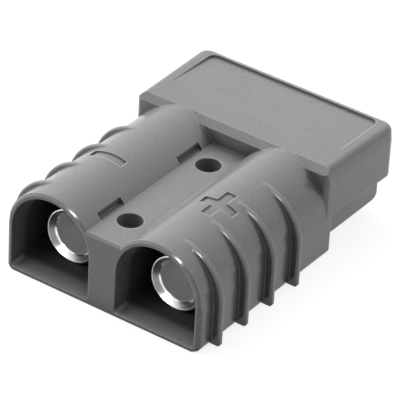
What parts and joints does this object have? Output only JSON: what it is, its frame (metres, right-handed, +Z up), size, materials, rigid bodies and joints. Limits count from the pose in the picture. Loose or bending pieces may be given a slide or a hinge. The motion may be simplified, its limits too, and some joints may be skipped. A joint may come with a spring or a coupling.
{
  "type": "genderless power connector",
  "caption": "Genderless two-pole battery power connector: moulded housing with round cable barrels, hood and tongue, crimp tube contacts with flat sprung blades.",
  "frame": {"origin": "bottom centre of the bounding box, on the plane of the flat underside", "axes": "+X across the poles towards the positive one, +Y along the cables from the cable end towards the mating end, +Z up, away from the flat underside"},
  "size_m": [0.0602, 0.0794, 0.0248],
  "materials": {
    "moulding": "semi-matte moulded grey",
    "plated_copper": "bright silver plating on copper",
    "spring_steel": "plain stainless spring strip"
  },
  "bodies": {
    "root": {"housing": "moulding", "contact_positive": "plated_copper", "contact_negative": "plated_copper", "spring_positive": "spring_steel", "spring_negative": "spring_steel"}
  },
  "joints": []
}
